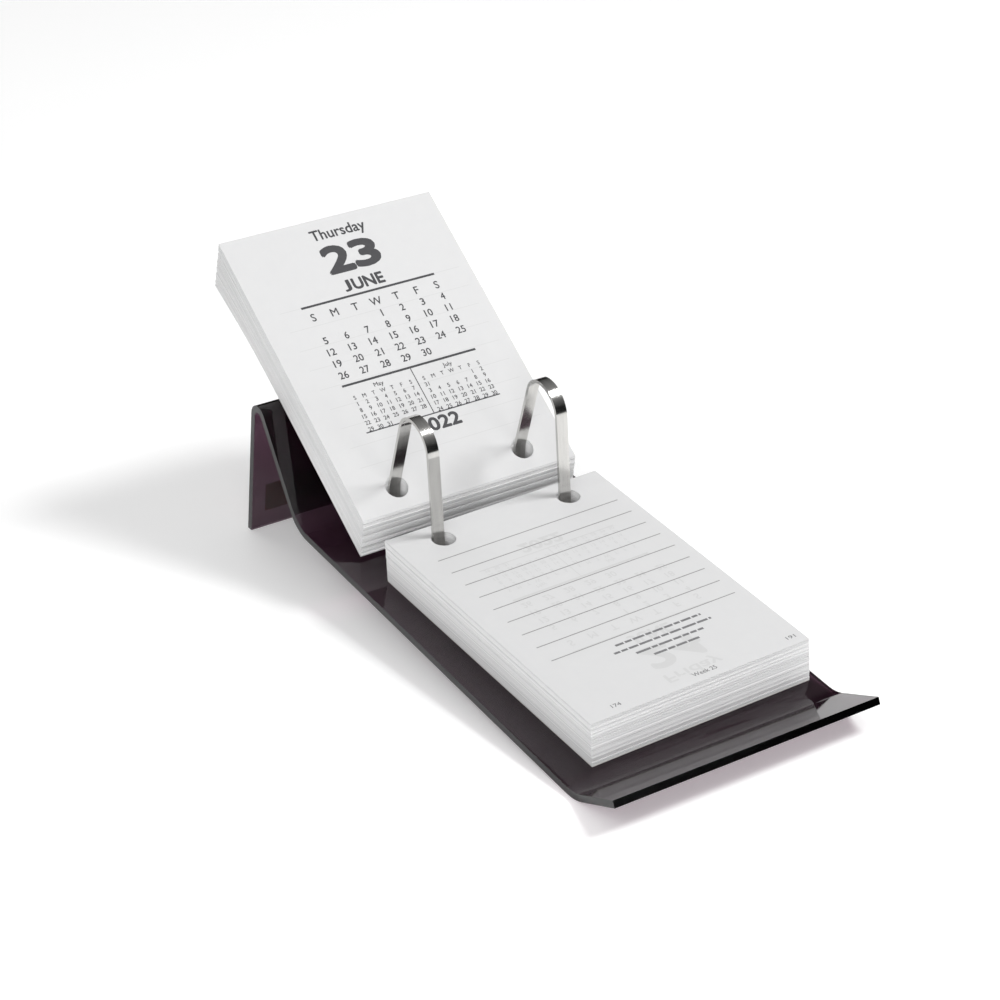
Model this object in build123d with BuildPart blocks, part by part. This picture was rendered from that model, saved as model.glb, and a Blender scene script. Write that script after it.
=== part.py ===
from build123d import *
from math import cos, degrees, radians, sin
import os

# Flip desk calendar: one bent acrylic sheet carries two steel ring arches. The day
# leaves still to come lie on its base, and the turned ones lean on its crest.
# Millimetres and degrees. X runs across, -Y is the front lip, +Z is up, and the origin
# is the middle of the footprint on the table. Side view points are (y, z), and side
# view angles are measured from +Y towards +Z.

# Acrylic sheet: front lip, sloping base, steep panel, crest, rear leg
front_edge_y = -112.55
sheet = 2.2
stand_width = 89.5
lip_length = 19.9
lip_pitch = 24.0
base_length = 148.5
base_pitch = 5.26
panel_length = 41.4
panel_pitch = 57.5
leg_lean = 8.4
lip_bend_radius = 14.0
crease_radius = 13.0
crest_radius = 2.1

# Ring arches: each is one flat steel strip with a riveted front foot and a free tip
strip_width = 3.8
strip = 1.0
ring_spacing = 45.0
ring_centre_x = 1.3
crown_height = 58.5
crown_length = 13.85
front_edge_to_crown = 124.9
front_leg_lean = 4.7
back_leg_lean = 17.6
back_leg_length = 29.0
back_foot_lean = 4.0
back_foot_bend_radius = 6.0
front_crown_radius = 9.8
back_crown_radius = 6.5
foot_bend_radius = 0.4
foot_tab = 10.0
tip_below_base = 2.0
slot_gap = 0.4

# Rivets that hold the ring feet to the base
rivet_radius = 1.2
rivet_head_radius = 2.0
rivet_head = 0.8
rivet_to_leg = 5.8

# Blank label on the outside of the rear leg
label_width = 30.0
label_height = 10.0
label_sheet = 0.12
label_centre_x = -24.4
label_centre_height = 9.9

# Day leaves, punched for the rings near one short edge
leaf_width = 76.0
leaf_length = 102.0
leaf = 0.1
hole_radius = 3.7
hole_to_edge = 7.6
strip_off_hole_centre = 1.6
crease_to_edge = 14.0
closing_sheet = 0.3

# Leaves still to come, from the base upwards
front_leaf_pitch = 0.0655
front_block_x = 1.8
front_turn = 1.2
front_shuffle = 0.1
front_months = {
    "december_leaves": 31,
    "november_leaves": 30,
    "october_leaves": 31,
    "september_leaves": 30,
    "august_leaves": 31,
    "july_leaves": 31,
    "june_leaves_to_come": 6,
}

# Turned leaves, from the crest upwards. The lower ones droop most behind the crest.
back_leaf_pitch = 0.0575
back_block_pitch = 35.5
back_block_x = 1.3
back_drift = 0.8
back_shuffle = 0.1
droop_start = 56.5
air_gap = 0.02
lowest_droop_radius = 320.0
back_months = {
    "january_leaves": 31,
    "february_leaves": 28,
    "march_leaves": 31,
    "april_leaves": 30,
    "may_leaves": 31,
    "june_leaves_turned": 22,
}

parts_folder = "parts"
os.makedirs(parts_folder, exist_ok=True)


def write(built, name):
    """Label a finished piece and write its STEP file."""
    built.part.label = name
    export_step(built.part, f"{parts_folder}/{name}.step")


def heading(angle):
    """Unit step in the side view."""
    return Vector(cos(radians(angle)), sin(radians(angle)))


def meet(first, first_angle, second, second_angle):
    """Where two side view lines cross."""
    across = heading(second_angle + 90)
    distance = (second - first).dot(across) / heading(first_angle).dot(across)
    return first + heading(first_angle) * distance


def square_to(point, angle, x=0.0):
    """Plane across a side view direction, with its local X along the object's X."""
    facing = heading(angle)
    return Plane(origin=(x, point.X, point.Y), x_dir=(1, 0, 0), z_dir=(0, facing.X, facing.Y))


# Corners of the sheet's under face. Both the lowest point of the lip bend and the end
# of the rear leg stand on the table.
turn_half = (lip_pitch + base_pitch) / 2
slope_half = (lip_pitch - base_pitch) / 2
lip_corner_height = lip_bend_radius * (1 - cos(radians(slope_half)) / cos(radians(turn_half)))
lip_corner_y = front_edge_y + lip_length * cos(radians(lip_pitch))
lip_corner = Vector(lip_corner_y, lip_corner_height)
lip_tip = lip_corner + heading(180 - lip_pitch) * lip_length
crease = lip_corner + heading(base_pitch) * base_length
crest = crease + heading(panel_pitch) * panel_length
leg_angle = leg_lean - 90
leg_end = crest + heading(leg_angle) * 1.1 * crest.Y
base_top = lip_corner + heading(base_pitch + 90) * sheet

# Outer corners of the ring strip, and the middle lines of its two legs
front_leg_angle = 90 - front_leg_lean
back_leg_angle = 90 + back_leg_lean
crown_front = Vector(front_edge_y + front_edge_to_crown, crown_height)
crown_back = crown_front + Vector(crown_length, 0)
foot_corner = meet(crown_front, front_leg_angle, lip_corner, base_pitch)
foot_end = foot_corner - heading(base_pitch) * foot_tab
back_leg_bend = crown_back - heading(back_leg_angle) * back_leg_length
back_foot_angle = 90 + back_foot_lean
back_foot = meet(back_leg_bend, back_foot_angle, lip_corner, base_pitch)
ring_tip = back_foot - heading(back_foot_angle) * tip_below_base
front_leg_middle = foot_corner + heading(front_leg_angle - 90) * strip / 2
back_foot_middle = back_foot + heading(back_foot_angle + 90) * strip / 2
rivet_spot = foot_corner - heading(base_pitch) * rivet_to_leg
ring_xs = [ring_centre_x - ring_spacing / 2, ring_centre_x + ring_spacing / 2]

# Acrylic stand, with a slot for each ring leg and a countersunk hole for each rivet
slots = [
    square_to(front_leg_middle, front_leg_angle),
    square_to(back_foot_middle, back_foot_angle),
]
rivet_plane = square_to(rivet_spot, base_pitch + 90)
countersink = rivet_plane.offset(sheet - rivet_head)
with BuildPart() as acrylic_stand:
    with BuildSketch(Plane.YZ):
        with BuildLine():
            FilletPolyline(
                lip_tip,
                lip_corner,
                crease,
                crest,
                leg_end,
                radius=[lip_bend_radius, crease_radius, crest_radius],
            )
            offset(amount=sheet, side=Side.LEFT, closed=True)
        make_face()
    extrude(amount=stand_width / 2, both=True)
    split(bisect_by=Plane.XY, keep=Keep.TOP)
    for slot in slots:
        with BuildSketch(slot):
            with Locations(*[(x, 0) for x in ring_xs]):
                Rectangle(strip_width + 2 * slot_gap, strip + 2 * slot_gap)
        extrude(amount=2 * sheet, both=True, mode=Mode.SUBTRACT)
    with BuildSketch(rivet_plane):
        with Locations(*[(x, 0) for x in ring_xs]):
            Circle(rivet_radius)
    extrude(amount=2 * sheet, both=True, mode=Mode.SUBTRACT)
    for x in ring_xs:
        with BuildSketch(countersink):
            with Locations((x, 0)):
                Circle(rivet_radius)
        with BuildSketch(countersink.offset(rivet_head)):
            with Locations((x, 0)):
                Circle(rivet_head_radius)
        loft(mode=Mode.SUBTRACT)
write(acrylic_stand, "acrylic_stand")

# Two ring arches, and the rivet through each front foot
for side, x in zip(["left", "right"], ring_xs):
    with BuildPart() as ring:
        with BuildSketch(Plane.YZ.offset(x)):
            with BuildLine():
                FilletPolyline(
                    foot_end,
                    foot_corner,
                    crown_front,
                    crown_back,
                    back_leg_bend,
                    ring_tip,
                    radius=[
                        foot_bend_radius,
                        front_crown_radius,
                        back_crown_radius,
                        back_foot_bend_radius,
                    ],
                )
                offset(amount=strip, side=Side.RIGHT, closed=True)
            make_face()
        extrude(amount=strip_width / 2, both=True)
        with BuildSketch(rivet_plane):
            with Locations((x, 0)):
                Circle(rivet_radius)
        extrude(amount=2 * strip, both=True, mode=Mode.SUBTRACT)
    write(ring, f"{side}_ring")

    with BuildPart() as rivet:
        with BuildSketch(rivet_plane.offset(-strip)):
            with Locations((x, 0)):
                Circle(rivet_radius)
        extrude(amount=strip + sheet - rivet_head)
        with BuildSketch(rivet_plane.offset(-strip)):
            with Locations((x, 0)):
                Circle(strip_width / 2)
        extrude(amount=-rivet_head)
        with BuildSketch(countersink):
            with Locations((x, 0)):
                Circle(rivet_radius)
        with BuildSketch(countersink.offset(rivet_head)):
            with Locations((x, 0)):
                Circle(rivet_head_radius)
        loft()
    write(rivet, f"{side}_rivet")

# Label stuck to the rear leg
label_spot = meet(crest, leg_angle, Vector(0, label_centre_height), 0)
label_spot = label_spot + heading(leg_angle + 90) * sheet
with BuildPart() as label:
    with BuildSketch(square_to(label_spot, leg_angle + 90, label_centre_x)):
        Rectangle(label_width, label_height)
    extrude(amount=label_sheet)
write(label, "label")


def leaf_stack(name, x, edge, run, rise, thickness, span, droop_radius=0.0, turned=None):
    """Write leaves whose stack climbs along a ring leg.

    edge is the ring-side edge of the lowest leaf, run the angle the leaves lie at away
    from it, rise the ring leg's angle, and span where they begin and end along run.
    turned is the axis and angle by which the stack is turned on the rings.
    """
    climb = heading(rise) * (thickness / abs(sin(radians(rise - run))))
    begin, end = span
    straight_end = min(end, droop_start) if droop_radius else end
    with BuildPart() as leaves:
        with BuildSketch(Plane.YZ.offset(x)):
            with BuildLine():
                ends = []
                for lift in [Vector(0, 0), climb]:
                    near = edge + heading(run) * begin + lift
                    far = edge + heading(run) * straight_end + lift
                    Line(near, far)
                    if end > straight_end:
                        swing = degrees((end - straight_end) / droop_radius)
                        drooping = JernArc(far, heading(run), droop_radius, -swing)
                        far = drooping @ 1
                    ends.append((near, far))
                Line(ends[0][0], ends[1][0])
                Line(ends[0][1], ends[1][1])
            make_face()
        extrude(amount=leaf_width / 2, both=True)
        if begin < hole_to_edge:
            hole_centre = edge + heading(run) * hole_to_edge - climb
            with BuildSketch(square_to(hole_centre, run + 90, x)):
                with Locations((-ring_spacing / 2, 0), (ring_spacing / 2, 0)):
                    Circle(hole_radius)
            leg = heading(rise)
            extrude(amount=3 * climb.length, dir=(0, leg.X, leg.Y), mode=Mode.SUBTRACT)
        if turned:
            add(leaves.part.rotate(*turned), mode=Mode.REPLACE)
    write(leaves, name)


# Leaves still to come: the closing sheet lies on the base and the months follow it up
# the front ring legs. The holes hang a little ahead of the strip.
front_run = base_pitch + 180
front_rise = front_leg_angle
leg_on_base = meet(front_leg_middle, front_leg_angle, base_top, base_pitch)
front_edge_offset = hole_to_edge - strip_off_hole_centre
edge = leg_on_base + heading(base_pitch) * front_edge_offset
front_lean = sin(radians(front_rise - base_pitch))
whole = (0.0, leaf_length)
front_up = heading(base_pitch + 90)
front_pivot = (front_block_x, leg_on_base.X, leg_on_base.Y)
turned = (Axis(front_pivot, (0, front_up.X, front_up.Y)), front_turn)
leaf_stack(
    "closing_sheet",
    front_block_x,
    edge,
    front_run,
    front_rise,
    closing_sheet,
    whole,
    turned=turned,
)
edge = edge + heading(front_rise) * (closing_sheet / front_lean)
for index, (month, days) in enumerate(front_months.items()):
    thickness = days * front_leaf_pitch
    shift = front_shuffle * sin(2.2 * index)
    shuffled = edge + heading(front_run) * shift
    x = front_block_x - shift
    leaf_stack(month, x, shuffled, front_run, front_rise, thickness, whole, turned=turned)
    edge = edge + heading(front_rise) * (thickness / front_lean)

# Top leaf of those to come: the margin stays on the rings and the rest turns up
margin = (0.0, crease_to_edge)
rest = (crease_to_edge, leaf_length)
for name, span in [("front_leaf_margin", margin), ("front_leaf", rest)]:
    square = base_pitch + 90
    leaf_stack(name, front_block_x, edge, front_run, square, leaf, span, turned=turned)

# Turned leaves: the lowest rest on the crest, and the months follow up the back ring
# legs. The top of each hole hangs near its strip.
crest_half = (leg_angle + 180 - panel_pitch) / 2
crest_reach = crest_radius / sin(radians(crest_half))
crest_middle = crest + heading((panel_pitch + leg_angle) / 2 + 270) * crest_reach
crest_contact = crest_middle + heading(back_block_pitch + 90) * (crest_radius + sheet)
back_run = back_block_pitch
back_rise = back_foot_angle
leg_on_leaves = meet(back_foot_middle, back_foot_angle, crest_contact, back_block_pitch)
edge = leg_on_leaves - heading(back_run) * (hole_to_edge + strip_off_hole_centre)
back_lean = sin(radians(back_rise - back_run))
for index, (month, days) in enumerate(back_months.items()):
    thickness = days * back_leaf_pitch
    shift = back_shuffle * sin(2.2 * index)
    shuffled = edge + heading(back_run) * shift
    level = index / len(back_months)
    x = back_block_x - back_drift * (1 - level) + shift
    droop = lowest_droop_radius / (1 - level)
    leaf_stack(month, x, shuffled, back_run, back_rise, thickness, whole, droop)
    edge = edge + heading(back_rise) * ((thickness + air_gap) / back_lean)

# Top leaf of the turned ones, parted like the front one
for name, span in [("back_leaf_margin", margin), ("back_leaf", rest)]:
    leaf_stack(name, back_block_x, edge, back_run, back_run + 90, leaf, span)
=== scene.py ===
import math
import random

import bmesh
import bpy
from mathutils import Matrix, Vector


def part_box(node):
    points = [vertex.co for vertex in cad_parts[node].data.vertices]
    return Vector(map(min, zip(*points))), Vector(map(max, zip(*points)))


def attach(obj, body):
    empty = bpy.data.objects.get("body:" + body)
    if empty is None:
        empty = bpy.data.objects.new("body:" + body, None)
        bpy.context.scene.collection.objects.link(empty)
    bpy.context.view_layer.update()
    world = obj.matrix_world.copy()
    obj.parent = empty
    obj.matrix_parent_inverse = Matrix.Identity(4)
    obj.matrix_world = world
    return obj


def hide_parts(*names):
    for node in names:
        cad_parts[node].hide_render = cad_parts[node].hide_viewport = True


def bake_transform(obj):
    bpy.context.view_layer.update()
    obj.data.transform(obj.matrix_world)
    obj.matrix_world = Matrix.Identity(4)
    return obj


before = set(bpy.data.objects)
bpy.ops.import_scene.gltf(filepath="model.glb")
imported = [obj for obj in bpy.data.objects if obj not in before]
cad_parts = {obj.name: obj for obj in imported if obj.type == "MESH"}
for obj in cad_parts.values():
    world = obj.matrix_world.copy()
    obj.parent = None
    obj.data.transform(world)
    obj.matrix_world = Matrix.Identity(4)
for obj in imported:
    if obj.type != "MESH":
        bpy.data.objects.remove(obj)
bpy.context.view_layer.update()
MM = 0.001

# Table top: a plain pale sheet, softly lit from within, that the calendar stands on. Its front
# bend and the sawn end of its rear leg touch it.
table_size = 6.0
table_white = (0.97, 0.97, 0.97, 1.0)
table_glow = 0.15


def named_material(name):
    """A fresh material with its Principled shader."""
    made = bpy.data.materials.new(name)
    made.use_nodes = True
    made.node_tree.nodes.clear()
    shader = made.node_tree.nodes.new("ShaderNodeBsdfPrincipled")
    output = made.node_tree.nodes.new("ShaderNodeOutputMaterial")
    made.node_tree.links.new(shader.outputs["BSDF"], output.inputs["Surface"])
    return made, shader, output


def grain_group():
    """Fine grain: a shade that mixes two colours, and a height for the bump."""
    group = bpy.data.node_groups.new("fine_grain", "ShaderNodeTree")
    for socket, kind in (("Light", "NodeSocketColor"), ("Dark", "NodeSocketColor"),
                         ("Scale", "NodeSocketFloat"), ("Stretch", "NodeSocketVector")):
        group.interface.new_socket(socket, in_out="INPUT", socket_type=kind)
    group.interface.new_socket("Color", in_out="OUTPUT", socket_type="NodeSocketColor")
    group.interface.new_socket("Height", in_out="OUTPUT", socket_type="NodeSocketFloat")
    nodes, links = group.nodes, group.links
    given = nodes.new("NodeGroupInput")
    result = nodes.new("NodeGroupOutput")
    place = nodes.new("ShaderNodeTexCoord")
    stretch = nodes.new("ShaderNodeVectorMath")
    stretch.operation = "MULTIPLY"
    fibres = nodes.new("ShaderNodeTexNoise")
    fibres.inputs["Detail"].default_value = 6.0
    fibres.inputs["Roughness"].default_value = 0.65
    shade = nodes.new("ShaderNodeMix")
    shade.data_type = "RGBA"
    links.new(place.outputs["Object"], stretch.inputs[0])
    links.new(given.outputs["Stretch"], stretch.inputs[1])
    links.new(stretch.outputs["Vector"], fibres.inputs["Vector"])
    links.new(given.outputs["Scale"], fibres.inputs["Scale"])
    links.new(fibres.outputs["Fac"], shade.inputs["Factor"])
    links.new(given.outputs["Dark"], shade.inputs["A"])
    links.new(given.outputs["Light"], shade.inputs["B"])
    links.new(shade.outputs["Result"], result.inputs["Color"])
    links.new(fibres.outputs["Fac"], result.inputs["Height"])
    return group


fine_grain = grain_group()


def grained(material, shader, light, dark, scale, bump, bump_size, stretch=(1, 1, 1)):
    """Put the fine grain on a material's colour and bump."""
    nodes, links = material.node_tree.nodes, material.node_tree.links
    grain = nodes.new("ShaderNodeGroup")
    grain.node_tree = fine_grain
    grain.inputs["Light"].default_value = light
    grain.inputs["Dark"].default_value = dark
    grain.inputs["Scale"].default_value = scale
    grain.inputs["Stretch"].default_value = stretch
    raised = nodes.new("ShaderNodeBump")
    raised.inputs["Strength"].default_value = bump
    raised.inputs["Distance"].default_value = bump_size
    links.new(grain.outputs["Color"], shader.inputs["Base Color"])
    links.new(grain.outputs["Height"], raised.inputs["Height"])
    links.new(raised.outputs["Normal"], shader.inputs["Normal"])
    return grain


def new_piece(name, build, materials, smooth=False):
    """A mesh object made by filling an empty bmesh."""
    shape = bmesh.new()
    build(shape)
    mesh = bpy.data.meshes.new(name)
    shape.to_mesh(mesh)
    shape.free()
    for material in materials:
        mesh.materials.append(material)
    for face in mesh.polygons:
        face.use_smooth = smooth
    piece = bpy.data.objects.new(name, mesh)
    bpy.context.scene.collection.objects.link(piece)
    return piece


table_material, table_shader, _ = named_material("table_top_white")
table_shader.inputs["Roughness"].default_value = 0.6
table_shader.inputs["Emission Color"].default_value = table_white
table_shader.inputs["Emission Strength"].default_value = table_glow
grained(table_material, table_shader, table_white, (0.955, 0.955, 0.955, 1.0), 40.0, 0.02, 0.0002)


def table_sheet(shape):
    half = table_size / 2
    corners = [(-half, -half), (half, -half), (half, half), (-half, half)]
    shape.faces.new([shape.verts.new((x, y, 0.0)) for x, y in corners])


table = new_piece("table_top", table_sheet, [table_material])

# Stand: one strip of clear smoke acrylic with a faint burgundy tint, bent warm into
# lip, base, panel, crest and rear leg, with polished faces and sawn, flamed edges.
# The near black colour of the edges is painted shade.
acrylic_tint = (0.29, 0.205, 0.25, 1.0)
acrylic_tint_deep = (0.25, 0.175, 0.215, 1.0)
# Painted shade: the near black colour given to the strip's side faces.
acrylic_edge_painted_shade = (0.035, 0.038, 0.042, 1.0)
acrylic_shadow = (0.60, 0.52, 0.55, 1.0)
acrylic_depth_colour = (0.45, 0.30, 0.40, 1.0)
acrylic_depth = 1100.0
acrylic_ior = 1.49

acrylic, acrylic_shader, acrylic_output = named_material("smoke_acrylic")
acrylic_shader.inputs["Transmission Weight"].default_value = 1.0
acrylic_shader.inputs["Metallic"].default_value = 0.0
acrylic_shader.inputs["IOR"].default_value = acrylic_ior
acrylic_shader.inputs["Specular IOR Level"].default_value = 0.2
acrylic_grain = grained(acrylic, acrylic_shader, acrylic_tint, acrylic_tint_deep, 18.0, 0.03, 0.0004)
# Painted shade: faces whose normal lies along X, the strip's side edges, take the near black colour.
acrylic_facing = acrylic.node_tree.nodes.new("ShaderNodeNewGeometry")
acrylic_across = acrylic.node_tree.nodes.new("ShaderNodeSeparateXYZ")
acrylic_side = acrylic.node_tree.nodes.new("ShaderNodeMath")
acrylic_side.operation = "ABSOLUTE"
acrylic_edge_shade_mask = acrylic.node_tree.nodes.new("ShaderNodeMath")
acrylic_edge_shade_mask.operation = "GREATER_THAN"
acrylic_edge_shade_mask.inputs[1].default_value = 0.9
acrylic_tint_and_edge_shade = acrylic.node_tree.nodes.new("ShaderNodeMix")
acrylic_tint_and_edge_shade.data_type = "RGBA"
acrylic_tint_and_edge_shade.inputs["B"].default_value = acrylic_edge_painted_shade
for out_socket, in_socket in (
        (acrylic_facing.outputs["True Normal"], acrylic_across.inputs["Vector"]),
        (acrylic_across.outputs["X"], acrylic_side.inputs[0]),
        (acrylic_side.outputs["Value"], acrylic_edge_shade_mask.inputs[0]),
        (acrylic_edge_shade_mask.outputs["Value"], acrylic_tint_and_edge_shade.inputs["Factor"]),
        (acrylic_grain.outputs["Color"], acrylic_tint_and_edge_shade.inputs["A"]),
        (acrylic_tint_and_edge_shade.outputs["Result"], acrylic_shader.inputs["Base Color"])):
    acrylic.node_tree.links.new(out_socket, in_socket)
wipe = acrylic.node_tree.nodes.new("ShaderNodeTexNoise")
wipe.inputs["Scale"].default_value = 120.0
wipe.inputs["Detail"].default_value = 8.0
wipe_range = acrylic.node_tree.nodes.new("ShaderNodeMapRange")
wipe_range.inputs["To Min"].default_value = 0.02
wipe_range.inputs["To Max"].default_value = 0.10
acrylic.node_tree.links.new(wipe.outputs["Fac"], wipe_range.inputs["Value"])
acrylic.node_tree.links.new(wipe_range.outputs["Result"], acrylic_shader.inputs["Roughness"])
light_path = acrylic.node_tree.nodes.new("ShaderNodeLightPath")
see_through = acrylic.node_tree.nodes.new("ShaderNodeBsdfTransparent")
see_through.inputs["Color"].default_value = acrylic_shadow
shadow_mix = acrylic.node_tree.nodes.new("ShaderNodeMixShader")
acrylic.node_tree.links.new(light_path.outputs["Is Shadow Ray"], shadow_mix.inputs["Fac"])
acrylic.node_tree.links.new(acrylic_shader.outputs["BSDF"], shadow_mix.inputs[1])
acrylic.node_tree.links.new(see_through.outputs["BSDF"], shadow_mix.inputs[2])
acrylic.node_tree.links.new(shadow_mix.outputs["Shader"], acrylic_output.inputs["Surface"])
depth = acrylic.node_tree.nodes.new("ShaderNodeVolumeAbsorption")
depth.inputs["Color"].default_value = acrylic_depth_colour
depth.inputs["Density"].default_value = acrylic_depth
acrylic.node_tree.links.new(depth.outputs["Volume"], acrylic_output.inputs["Volume"])
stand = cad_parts["acrylic_stand"]
stand.data.materials.clear()
stand.data.materials.append(acrylic)

# Ring arches: flat spring-steel strip, rolled to an arch, bright plated and lightly
# brushed along the strip. Each stands in two slots of the base.
plate_bright = (0.74, 0.73, 0.71, 1.0)
plate_dull = (0.45, 0.445, 0.43, 1.0)

plating, plating_shader, _ = named_material("bright_plating")
plating_shader.inputs["Metallic"].default_value = 1.0
grained(plating, plating_shader, plate_bright, plate_dull, 900.0, 0.12, 0.00005, (1.0, 0.06, 0.06))
haze = plating.node_tree.nodes.new("ShaderNodeTexNoise")
haze.inputs["Scale"].default_value = 300.0
haze_range = plating.node_tree.nodes.new("ShaderNodeMapRange")
haze_range.inputs["To Min"].default_value = 0.08
haze_range.inputs["To Max"].default_value = 0.20
plating.node_tree.links.new(haze.outputs["Fac"], haze_range.inputs["Value"])
plating.node_tree.links.new(haze_range.outputs["Result"], plating_shader.inputs["Roughness"])
for ring in ("left_ring", "right_ring"):
    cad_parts[ring].data.materials.clear()
    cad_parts[ring].data.materials.append(plating)

# Rivets: plain plated steel, set flush in the base and closed under the ring feet.
rivet_steel, rivet_shader, _ = named_material("rivet_steel")
rivet_shader.inputs["Metallic"].default_value = 1.0
rivet_shader.inputs["Roughness"].default_value = 0.35
grained(rivet_steel, rivet_shader, (0.66, 0.66, 0.67, 1.0), (0.45, 0.45, 0.46, 1.0), 700.0, 0.15, 0.0001)
for rivet in ("left_rivet", "right_rivet"):
    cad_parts[rivet].data.materials.clear()
    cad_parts[rivet].data.materials.append(rivet_steel)

# Label: a blank dark red paper sticker on the outside of the rear leg.
label_red, label_shader, label_output = named_material("label_red")
label_shader.inputs["Roughness"].default_value = 0.5
grained(label_red, label_shader, (0.80, 0.02, 0.05, 1.0), (0.62, 0.012, 0.04, 1.0), 400.0, 0.1, 0.0001)
label_glow = label_red.node_tree.nodes.new("ShaderNodeBsdfTranslucent")
label_glow.inputs["Color"].default_value = (0.85, 0.02, 0.06, 1.0)
label_mix = label_red.node_tree.nodes.new("ShaderNodeMixShader")
label_mix.inputs["Fac"].default_value = 0.55
label_red.node_tree.links.new(label_shader.outputs["BSDF"], label_mix.inputs[1])
label_red.node_tree.links.new(label_glow.outputs["BSDF"], label_mix.inputs[2])
label_red.node_tree.links.new(label_mix.outputs["Shader"], label_output.inputs["Surface"])
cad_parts["label"].data.materials.clear()
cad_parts["label"].data.materials.append(label_red)

# Leaves still to come: white uncoated paper, punched twice near the rear edge and
# stacked by month over the front legs of the rings. The bundles don't line up quite.
leaf_width = 76 * MM
leaf_length = 102 * MM
leaf_thick = 0.1 * MM
hole_radius = 3.7 * MM
hole_to_edge = 7.6 * MM
hole_spacing = 45 * MM
hole_sides = 36
base_pitch = math.radians(5.26)
front_leg_lean = math.radians(4.7)
paper_light = (0.645, 0.645, 0.645, 1.0)
paper_dark = (0.615, 0.615, 0.62, 1.0)
paper_roughness = 0.85
paper_sheen = 0.25
paper_fibres = (260.0, 0.12, 0.00008)
# Painted light and shade on the leaves' cut edges: a lighter colour than the faces, crossed by darker
# lines between leaves.
cut_edge_painted_light = (0.93, 0.93, 0.93, 1.0)
leaf_gap_painted_shade = (0.72, 0.72, 0.725, 1.0)


def paper_material(name, pitch):
    """Uncoated paper whose cut edges are painted lighter than its faces as painted light, crossed by lines
    of painted shade between leaves lying at a pitch.
    """
    made, shader, _ = named_material(name)
    shader.inputs["Roughness"].default_value = paper_roughness
    shader.inputs["Specular IOR Level"].default_value = paper_sheen
    grain = grained(made, shader, paper_light, paper_dark, *paper_fibres)
    nodes, links = made.node_tree.nodes, made.node_tree.links
    place = nodes.new("ShaderNodeTexCoord")
    height = nodes.new("ShaderNodeVectorMath")
    height.operation = "DOT_PRODUCT"
    height.inputs[1].default_value = (0.0, -math.sin(pitch), math.cos(pitch))
    # Painted shade: these noise lines darken the cut edges between leaves.
    lines = nodes.new("ShaderNodeTexNoise")
    lines.noise_dimensions = "1D"
    lines.inputs["Scale"].default_value = 2600.0
    lines.inputs["Detail"].default_value = 4.0
    contrast = nodes.new("ShaderNodeMapRange")
    contrast.inputs["From Min"].default_value = 0.35
    contrast.inputs["From Max"].default_value = 0.70
    edge_shade = nodes.new("ShaderNodeMix")
    edge_shade.data_type = "RGBA"
    edge_shade.inputs["A"].default_value = leaf_gap_painted_shade
    edge_shade.inputs["B"].default_value = cut_edge_painted_light
    facing = nodes.new("ShaderNodeNewGeometry")
    upward = nodes.new("ShaderNodeVectorMath")
    upward.operation = "DOT_PRODUCT"
    upward.inputs[1].default_value = (0.0, -math.sin(pitch), math.cos(pitch))
    steep = nodes.new("ShaderNodeMath")
    steep.operation = "ABSOLUTE"
    choose = nodes.new("ShaderNodeMath")
    choose.operation = "GREATER_THAN"
    choose.inputs[1].default_value = 0.7
    both = nodes.new("ShaderNodeMix")
    both.data_type = "RGBA"
    links.new(place.outputs["Object"], height.inputs[0])
    links.new(height.outputs["Value"], lines.inputs["W"])
    links.new(lines.outputs["Fac"], contrast.inputs["Value"])
    links.new(contrast.outputs["Result"], edge_shade.inputs["Factor"])
    links.new(facing.outputs["True Normal"], upward.inputs[0])
    links.new(upward.outputs["Value"], steep.inputs[0])
    links.new(steep.outputs["Value"], choose.inputs[0])
    links.new(choose.outputs["Value"], both.inputs["Factor"])
    links.new(edge_shade.outputs["Result"], both.inputs["A"])
    links.new(grain.outputs["Color"], both.inputs["B"])
    links.new(both.outputs["Result"], shader.inputs["Base Color"])
    return made


def leaf_pattern(rows):
    """Flat pattern of a punched leaf: points (x, s), faces, and its rims in order.

    s runs from the punched edge to the far edge, through the given rows.
    """
    flat = bmesh.new()
    half = leaf_width / 2
    first = rows[0]
    rims = [[(-half, 0.0), (half, 0.0), (half, first), (-half, first)]]
    for side in (-1, 1):
        turn = [2 * math.pi * i / hole_sides for i in range(hole_sides)]
        middle = side * hole_spacing / 2
        rims.append([(middle + hole_radius * math.cos(a), hole_to_edge + hole_radius * math.sin(a))
                     for a in turn])
    edges = []
    for rim in rims:
        corners = [flat.verts.new((x, s, 0.0)) for x, s in rim]
        edges += [flat.edges.new((corners[i - 1], corners[i])) for i in range(len(corners))]
    bmesh.ops.triangle_fill(flat, use_beauty=True, use_dissolve=False, edges=edges)
    flat.verts.index_update()
    points = [(v.co.x, v.co.y) for v in flat.verts]
    faces = []
    for face in flat.faces:
        corners = [v.index for v in face.verts]
        faces.append(corners if face.normal.z > 0 else corners[::-1])
    flat.free()
    outer = [0, 1, 2]
    left, right = 3, 2
    back_side = [3]
    for s in rows[1:]:
        points += [(-half, s), (half, s)]
        faces.append([left, right, len(points) - 1, len(points) - 2])
        left, right = len(points) - 2, len(points) - 1
        outer.append(right)
        back_side.append(left)
    outer += back_side[::-1]
    holes = [list(range(4 + hole_sides * i, 4 + hole_sides * (i + 1)))[::-1] for i in (0, 1)]
    return points, faces, [outer] + holes


def add_bundle(shape, pattern, place, low, high):
    """One bundle of leaves between two heights, set in space by place(x, s, height)."""
    points, faces, rims = pattern
    under = [shape.verts.new(place(x, s, low)) for x, s in points]
    over = [shape.verts.new(place(x, s, high)) for x, s in points]
    for face in faces:
        shape.faces.new([over[i] for i in face])
        shape.faces.new([under[i] for i in reversed(face)])
    for rim in rims:
        for i in range(len(rim)):
            a, b = rim[i - 1], rim[i]
            shape.faces.new([under[a], under[b], over[b], over[a]])


def step(angle):
    """Unit step in the side view, at an angle from +Y towards +Z."""
    return Vector((0.0, math.cos(angle), math.sin(angle)))


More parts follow.
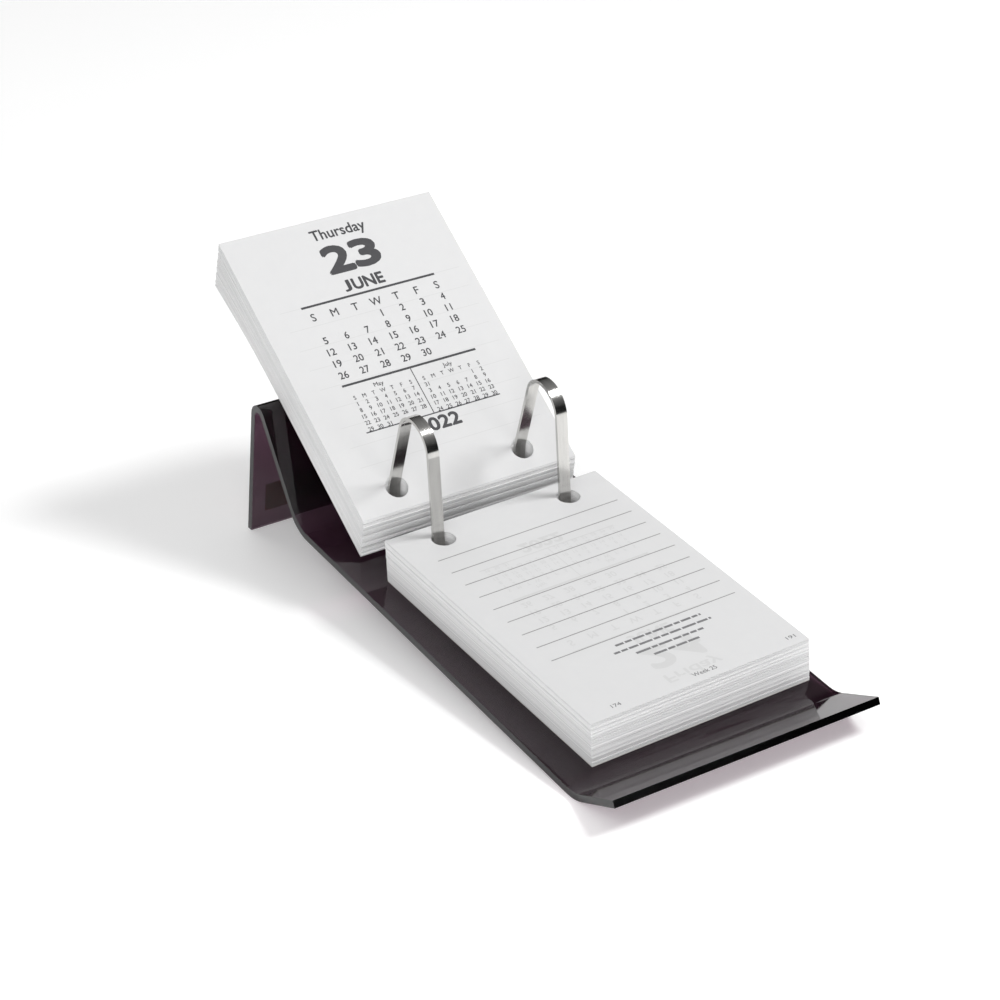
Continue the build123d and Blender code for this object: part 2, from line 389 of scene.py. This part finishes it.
punched_band = 12 * MM
stack_rows = [punched_band, leaf_length]
stack_pattern = leaf_pattern(stack_rows)
front_paper = paper_material("front_leaf_paper", base_pitch)
single_paper, single_shader, _ = named_material("single_leaf_paper")
single_shader.inputs["Roughness"].default_value = paper_roughness
single_shader.inputs["Specular IOR Level"].default_value = paper_sheen
grained(single_paper, single_shader, paper_light, paper_dark, *paper_fibres)
closing_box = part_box("closing_sheet")
front_margin_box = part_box("front_leaf_margin")
front_middle_x = (front_margin_box[0].x + front_margin_box[1].x) / 2
front_leg = step(math.pi / 2 - front_leg_lean)
front_up = step(math.pi / 2 + base_pitch)
front_turn = math.radians(1.2)
front_across = Matrix.Rotation(front_turn, 3, front_up) @ Vector((1, 0, 0))
front_run = Matrix.Rotation(front_turn, 3, front_up) @ step(base_pitch + math.pi)
front_months = ["december_leaves", "november_leaves", "october_leaves", "september_leaves",
                "august_leaves", "july_leaves", "june_leaves_to_come"]
front_counts = [31, 30, 31, 30, 31, 31, 6]


def rear_edge_top(box):
    """The middle of a front leaf's punched edge, on its upper face."""
    reach = leaf_width / 2 * abs(front_across.y)
    rise = leaf_width / 2 * abs(front_across.z)
    return Vector(((box[0].x + box[1].x) / 2, box[1].y - reach, box[1].z - rise))


front_top_edge = rear_edge_top(front_margin_box) - front_up * leaf_thick
closing_top = rear_edge_top(closing_box)
front_top_edge.x = closing_top.x = front_middle_x
front_climb = (front_top_edge.z - closing_top.z) / front_leg.z
front_climb_per_leaf = front_climb / sum(front_counts)
bundle_smallest, bundle_largest = 2, 6
side_slip = 0.07 * MM
front_end_slip = 0.3 * MM
bundle_air = 0.05
shuffle = random.Random(23)


def bundles_of(count):
    """Split a month's leaves into a few uneven bundles."""
    sizes = []
    while sum(sizes) < count:
        sizes.append(min(shuffle.randint(bundle_smallest, bundle_largest), count - sum(sizes)))
    return sizes


below = 0
for month, count in zip(front_months, front_counts):

    def month_stack(shape, below=below, count=count):
        at = below
        for size in bundles_of(count):
            slip_x = shuffle.uniform(-side_slip, side_slip)
            slip_s = shuffle.uniform(-front_end_slip, 0)

            def place(x, s, leaves, slip_x=slip_x, slip_s=slip_s):
                point = closing_top + front_leg * (leaves * front_climb_per_leaf)
                return point + front_run * (s + slip_s) + front_across * (x + slip_x)

            add_bundle(shape, stack_pattern, place, at, at + size - bundle_air)
            at += size

    stack = new_piece(month + "_stack", month_stack, [front_paper])
    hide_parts(month)
    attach(stack, "front_block")
    below += count
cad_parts["closing_sheet"].data.materials.clear()
card, card_shader, _ = named_material("closing_card")
card_shader.inputs["Roughness"].default_value = 0.9
grained(card, card_shader, (0.68, 0.67, 0.65, 1.0), (0.60, 0.59, 0.57, 1.0), 300.0, 0.2, 0.0001)
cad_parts["closing_sheet"].data.materials.append(card)

# Top leaf of those to come: one flat sheet, its mesh cut in fine rows beside the holes, where the real
# leaf bends when it is turned.
# Its face carries nine ruled lines, the day's number, the days left and the week.
top_rows = [11.6 * MM + 0.5 * MM * i for i in range(11)]
top_rows += [top_rows[-1] + (leaf_length - top_rows[-1]) * i / 12 for i in range(1, 13)]
top_pattern = leaf_pattern(top_rows)


def front_page(x, s, height):
    """A place on the front top leaf, from its middle and punched edge, above its underside."""
    return front_top_edge + front_run * s + front_up * height + front_across * x


front_sheet = new_piece(
    "front_top_leaf", lambda shape: add_bundle(shape, top_pattern, front_page, 0.0, leaf_thick),
    [single_paper])
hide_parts("front_leaf_margin", "front_leaf")
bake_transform(front_sheet)

ink_thick = 0.012 * MM
ghost_thick = 0.006 * MM


def ink_material(name, light, dark):
    made, shader, _ = named_material(name)
    shader.inputs["Roughness"].default_value = 0.6
    shader.inputs["Specular IOR Level"].default_value = 0.3
    grained(made, shader, light, dark, 900.0, 0.1, 0.00003)
    return made


ink_grey = ink_material("print_ink", (0.062, 0.062, 0.066, 1.0), (0.040, 0.040, 0.044, 1.0))
rule_grey = ink_material("ruled_line_ink", (0.30, 0.30, 0.30, 1.0), (0.24, 0.24, 0.24, 1.0))
fine_grey = ink_material("fine_print_ink", (0.21, 0.21, 0.215, 1.0), (0.16, 0.16, 0.165, 1.0))
ghost_grey = ink_material("show_through", (0.585, 0.585, 0.585, 1.0), (0.565, 0.565, 0.565, 1.0))
swell_strikes = 8
strike_lift = 0.0006 * MM


def letter_shapes(words):
    """Flat letters as (points, faces) for capitals one unit high."""
    curve = bpy.data.curves.new("letters", "FONT")
    curve.body = words
    curve.size = 1.0
    curve.resolution_u = 4
    holder = bpy.data.objects.new("letters", curve)
    bpy.context.scene.collection.objects.link(holder)
    bpy.context.view_layer.update()
    mesh = bpy.data.meshes.new_from_object(holder)
    points = [v.co.copy() for v in mesh.vertices]
    faces = [list(face.vertices) for face in mesh.polygons]
    bpy.data.objects.remove(holder)
    bpy.data.curves.remove(curve)
    bpy.data.meshes.remove(mesh)
    return points, faces


capital_points, _ = letter_shapes("H")
capital_height = max(p.y for p in capital_points) - min(p.y for p in capital_points)


class Print:
    """Ink laid on a page: page(x, d, lift) is a place from its left and top edges."""

    def __init__(self, page):
        self.page = page
        self.points = []
        self.faces = []

    def words(self, text, x, d, height, swell=0.0, width=None, whole=False):
        """Words centred on x with their feet at d, drawn to a given width if there is one.

        swell thickens the strokes; whole fits the letters' full height, tails included.
        """
        points, faces = letter_shapes(text)
        low_x, high_x = min(p.x for p in points), max(p.x for p in points)
        low_y, high_y = min(p.y for p in points), max(p.y for p in points)
        size = height / capital_height
        foot = 0.0
        if whole:
            size, foot = (height - 2 * swell) / (high_y - low_y), low_y
        across = (width - 2 * swell) / (high_x - low_x) if width else size
        middle = (low_x + high_x) / 2
        strikes = [(0.0, 0.0)]
        if swell:
            turn = [2 * math.pi * i / swell_strikes for i in range(swell_strikes)]
            strikes += [(swell * math.cos(a), swell * math.sin(a)) for a in turn]
        for i, (aside, down) in enumerate(strikes):
            first = len(self.points)
            self.points += [self.page(x + (p.x - middle) * across + aside,
                                      d - swell - (p.y - foot) * size + down,
                                      i * strike_lift) for p in points]
            self.faces += [[first + i for i in face] for face in faces]

    def rule(self, x0, x1, d, thick):
        first = len(self.points)
        for x, dd in ((x0, d - thick / 2), (x1, d - thick / 2), (x1, d + thick / 2), (x0, d + thick / 2)):
            self.points.append(self.page(x, dd, 0.0))
        self.faces.append([first, first + 1, first + 2, first + 3])

    def piece(self, name, ink, body):
        def fill(shape):
            corners = [shape.verts.new(p) for p in self.points]
            for face in self.faces:
                try:
                    shape.faces.new([corners[i] for i in face])
                except ValueError:
                    pass
        made = new_piece(name, fill, [ink])
        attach(made, body)
        return made


def on_front_page(x, d, lift):
    return front_page(x - leaf_width / 2, d, leaf_thick + ink_thick + lift)


ruled_lines = 9
ruling_left, ruling_right = 7.6 * MM, 72.2 * MM
ruling_thick = 0.34 * MM
notes_foot, note_height, note_swell, note_width = 99.2 * MM, 1.35 * MM, 0.02 * MM, 3.1 * MM
motto_first_line, motto_pitch, motto_thick = 76.6, 2.9, 0.85 * MM
motto_shortest, motto_longest, motto_gap = 1.8, 5.0, 0.5
first_line = 16.6 * MM
line_pitch = 7.08 * MM
rulings = Print(on_front_page)
for i in range(ruled_lines):
    rulings.rule(ruling_left, ruling_right, first_line + i * line_pitch, ruling_thick)
rulings.piece("front_page_rulings", rule_grey, "front_leaf_body")
notes = Print(on_front_page)
notes.words("174", 11.0 * MM, notes_foot, note_height, note_swell, note_width)
notes.words("191", 72.0 * MM, notes_foot, note_height, note_swell, note_width)
notes.words("Week 25", 41.2 * MM, 99.4 * MM, 1.5 * MM, 0.02 * MM, 8.2 * MM)
motto_bars = [(27.0, 57.0), (24.5, 58.5), (30.0, 53.5), (34.0, 50.0)]
motto = random.Random(7)
for i, (left, right) in enumerate(motto_bars):
    x = left
    while x < right:
        word = min(motto.uniform(motto_shortest, motto_longest), right - x)
        notes.rule(x * MM, (x + word) * MM, (motto_first_line + motto_pitch * i) * MM, motto_thick)
        x += word + motto_gap
notes.piece("front_page_print", fine_grey, "front_leaf_body")

# Turned leaves: the same paper stacked by month over the back legs of the rings. They
# lean on the crest, and the lower ones droop behind it and fan a little open.
back_pitch = math.radians(35.5)
back_foot_lean = math.radians(4.0)
droop_start = 56.5 * MM
lowest_droop_radius = 320 * MM
droop_rows = 10
back_months = ["january_leaves", "february_leaves", "march_leaves", "april_leaves",
               "may_leaves", "june_leaves_turned"]
back_counts = [31, 28, 31, 30, 31, 22]
back_paper = paper_material("back_leaf_paper", back_pitch)
back_margin_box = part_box("back_leaf_margin")
january_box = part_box("january_leaves")
back_middle_x = (back_margin_box[0].x + back_margin_box[1].x) / 2
back_leg = step(math.pi / 2 + back_foot_lean)
back_drift = 0.8 * MM
back_end_slip = 0.5 * MM
back_up = step(math.pi / 2 + back_pitch)
back_top_edge = Vector((back_middle_x, back_margin_box[0].y, back_margin_box[0].z))
back_top_edge.y += leaf_thick * math.sin(back_pitch)
back_climb = (back_top_edge.z - january_box[0].z) / back_leg.z
back_climb_per_leaf = back_climb / sum(back_counts)
back_rows = [punched_band, droop_start]
back_rows += [droop_start + (leaf_length - droop_start) * i / droop_rows for i in range(1, droop_rows + 1)]
back_pattern = leaf_pattern(back_rows)


def drooped(s, share):
    """How far along and below its straight line a leaf lies; share is 1 at the lowest leaf."""
    beyond = s - droop_start
    if beyond <= 0 or share <= 0:
        return s, 0.0
    radius = lowest_droop_radius / share
    swing = beyond / radius
    return droop_start + radius * math.sin(swing), radius * (1 - math.cos(swing))


below = 0
for month, count in zip(back_months, back_counts):

    def month_stack(shape, below=below, count=count):
        at = below
        for size in bundles_of(count):
            slip_x = shuffle.uniform(-side_slip, side_slip)
            slip_s = shuffle.uniform(-back_end_slip, 0)

            def place(x, s, leaves, slip_x=slip_x, slip_s=slip_s, at=at):
                along, drop = drooped(s, 1 - at / sum(back_counts))
                climb = back_climb - leaves * back_climb_per_leaf
                point = back_top_edge - back_leg * climb
                point = point + step(back_pitch) * (along + slip_s) - back_up * drop
                drift = back_drift * (1 - at / sum(back_counts))
                return point + Vector((x + slip_x - drift, 0, 0))

            add_bundle(shape, back_pattern, place, at, at + size - bundle_air)
            at += size

    stack = new_piece(month + "_stack", month_stack, [back_paper])
    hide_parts(month)
    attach(stack, "back_block")
    below += count

# Top turned leaf: one flat sheet, its mesh cut in fine rows beside the holes, where the real leaf bends.
# Its face carries the day, the month's grid and two small grids for the months before and after.


def back_page(x, s, height):
    """A place on the back top leaf, from its middle and punched edge, above its underside."""
    return back_top_edge + step(back_pitch) * s + back_up * height + Vector((x, 0, 0))


back_sheet = new_piece(
    "back_top_leaf", lambda shape: add_bundle(shape, top_pattern, back_page, 0.0, leaf_thick),
    [single_paper])
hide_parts("back_leaf_margin", "back_leaf")
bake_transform(back_sheet)


def on_back_page(x, d, lift):
    return back_page(x - leaf_width / 2, leaf_length - d, leaf_thick + ink_thick + lift)


def under_back_print(x, d, lift):
    return back_page(x - leaf_width / 2, leaf_length - d, leaf_thick + ghost_thick + lift)


def under_front_print(x, d, lift):
    return front_page(x - leaf_width / 2, leaf_length - d, leaf_thick + ghost_thick + lift)


page_middle = 39.0 * MM
grid_left, grid_right = 14.9 * MM, 62.9 * MM
grid_first_column = 17.3 * MM
grid_column = 7.4 * MM
grid_weekdays = 34.2 * MM
grid_row = 4.27 * MM
small_row = 2.28 * MM
small_column = 3.3 * MM
small_weekdays = 63.3 * MM
small_height, small_letters, small_heading, small_swell = 1.35 * MM, 1.3 * MM, 60.9 * MM, 0.03 * MM
thick_rule, thin_rule = 0.75 * MM, 0.4 * MM
date_foot, date_height, date_swell = 20.4 * MM, 10.4 * MM, 0.62 * MM
month_foot, month_swell = 27.3 * MM, 0.20 * MM
show_through_line = 0.2 * MM


def month_grid(ink, first_weekday, days, left, column, top, row, height, letters, rows=5):
    """A month's grid; days past the last row share the first row, under their weekday."""
    for i, letter in enumerate("SMTWTFS"):
        ink.words(letter, left + i * column, top, letters, 0.018 * letters)
    for day in range(1, days + 1):
        spot = first_weekday + day - 1
        line = (spot // 7) % rows
        figures = str(day)
        wide = None if "1" in figures else height * (0.72 * len(figures) - 0.08)
        ink.words(figures, left + (spot % 7) * column, top + (line + 1) * row, height,
                  0.022 * height, wide)


def day_page(ink, weekday, date):
    """Everything printed on the dated face of a leaf."""
    ink.words(weekday, 39.4 * MM, 7.4 * MM, 3.6 * MM, 0.10 * MM, 19.4 * MM)
    ink.words(date[0], 34.6 * MM, date_foot, date_height, date_swell, 9.9 * MM, whole=True)
    ink.words(date[1], 44.5 * MM, date_foot, date_height, date_swell, 9.7 * MM, whole=True)
    ink.words("J", 33.1 * MM, month_foot, 4.2 * MM, month_swell, 2.6 * MM, whole=True)
    ink.words("UNE", 40.6 * MM, month_foot, 3.8 * MM, month_swell, 11.2 * MM)
    ink.rule(grid_left, grid_right, 28.9 * MM, thick_rule)
    month_grid(ink, 3, 30, grid_first_column, grid_column, grid_weekdays, grid_row,
               2.35 * MM, 2.6 * MM)
    ink.rule(grid_left, grid_right, 57.9 * MM, thick_rule)
    ink.words("May", 26.6 * MM, small_heading, small_height, small_swell, 3.4 * MM)
    month_grid(ink, 0, 31, 17.0 * MM, small_column, small_weekdays, small_row,
               small_height, small_letters)
    ink.words("July", 51.3 * MM, small_heading, small_height, small_swell, 3.3 * MM)
    month_grid(ink, 5, 31, 41.6 * MM, small_column, small_weekdays, small_row,
               small_height, small_letters)
    ink.rule(38.8 * MM, 39.1 * MM, 66.4 * MM, 16.6 * MM)
    ink.rule(grid_left, grid_right, 74.9 * MM, thin_rule)
    ink.words("2022", page_middle, 80.6 * MM, 4.2 * MM, 0.22 * MM, 14.8 * MM)


page = Print(on_back_page)
day_page(page, "Thursday", "23")
page.piece("back_page_print", ink_grey, "back_leaf_body")
backing = Print(under_back_print)
for i in range(ruled_lines):
    backing.rule(ruling_left, ruling_right, leaf_length - first_line - i * line_pitch,
                 show_through_line)
backing.piece("back_page_show_through", ghost_grey, "back_leaf_body")
backing = Print(under_front_print)
day_page(backing, "Friday", "24")
backing.piece("front_page_show_through", ghost_grey, "front_leaf_body")

# Studio: a soft light from the right, a fill from the left, one behind and two low ones
# before the front, in a pale room. The camera stands in front and to the left, with a
# long lens.
camera_spot = Vector((-388.5, -584.5, 414.9)) * MM
camera_aim = Vector((13.4, 29.7, 17.1)) * MM
camera_roll = math.radians(-0.32)
lens = 98.3

room = bpy.data.worlds.new("studio_room")
room.use_nodes = True
room_nodes, room_links = room.node_tree.nodes, room.node_tree.links
room_light = room_nodes["Background"]
room_place = room_nodes.new("ShaderNodeTexCoord")
room_split = room_nodes.new("ShaderNodeSeparateXYZ")
room_ramp = room_nodes.new("ShaderNodeValToRGB")
room_ramp.color_ramp.elements[0].position = 0.3
room_ramp.color_ramp.elements[0].color = (0.05, 0.05, 0.05, 1.0)
room_ramp.color_ramp.elements[1].position = 0.9
room_ramp.color_ramp.elements[1].color = (1.0, 1.0, 1.0, 1.0)
room_links.new(room_place.outputs["Generated"], room_split.inputs["Vector"])
room_links.new(room_split.outputs["Z"], room_ramp.inputs["Fac"])
room_links.new(room_ramp.outputs["Color"], room_light.inputs["Color"])
room_light.inputs["Strength"].default_value = 0.30
room_backdrop = room_nodes.new("ShaderNodeBackground")
room_backdrop.inputs["Color"].default_value = (0.9, 0.9, 0.9, 1.0)
room_sight = room_nodes.new("ShaderNodeLightPath")
room_mix = room_nodes.new("ShaderNodeMixShader")
room_links.new(room_sight.outputs["Is Camera Ray"], room_mix.inputs["Fac"])
room_links.new(room_light.outputs["Background"], room_mix.inputs[1])
room_links.new(room_backdrop.outputs["Background"], room_mix.inputs[2])
room_links.new(room_mix.outputs["Shader"], room_nodes["World Output"].inputs["Surface"])
bpy.context.scene.world = room
bpy.context.scene.view_settings.view_transform = "Standard"


def soft_light(name, spot, aim, size, power, mirrored=True):
    lamp = bpy.data.lights.new(name, "AREA")
    lamp.shape = "RECTANGLE"
    lamp.size, lamp.size_y = size
    lamp.energy = power
    holder = bpy.data.objects.new(name, lamp)
    holder.location = spot
    holder.visible_glossy = mirrored
    holder.rotation_euler = (Vector(aim) - Vector(spot)).to_track_quat("-Z", "Y").to_euler()
    bpy.context.scene.collection.objects.link(holder)


soft_light("key_light", (0.75, -0.25, 1.0), (0, 0, 0), (0.35, 0.35), 10.5)
soft_light("fill_light", (-0.9, -0.3, 1.1), (0, 0, 0), (0.9, 0.9), 5.2)
soft_light("low_front_light", (-0.75, -1.0, 0.42), (0, 0, 0.02), (0.9, 0.5), 7.5, False)
soft_light("floor_level_light", (0.25, -1.25, 0.16), (0, 0, 0.03), (0.8, 0.25), 3.2, False)
soft_light("back_light", (0.1, 1.1, 1.1), (0, 0, 0), (1.2, 0.8), 4.9, False)

view = bpy.data.cameras.new("camera")
view.lens = lens
view.sensor_width = 36.0
view.clip_end = 20.0
camera = bpy.data.objects.new("camera", view)
turn = (camera_aim - camera_spot).to_track_quat("-Z", "Y").to_matrix().to_4x4()
camera.matrix_world = Matrix.Translation(camera_spot) @ turn @ Matrix.Rotation(camera_roll, 4, "Z")
bpy.context.scene.collection.objects.link(camera)
bpy.context.scene.camera = camera
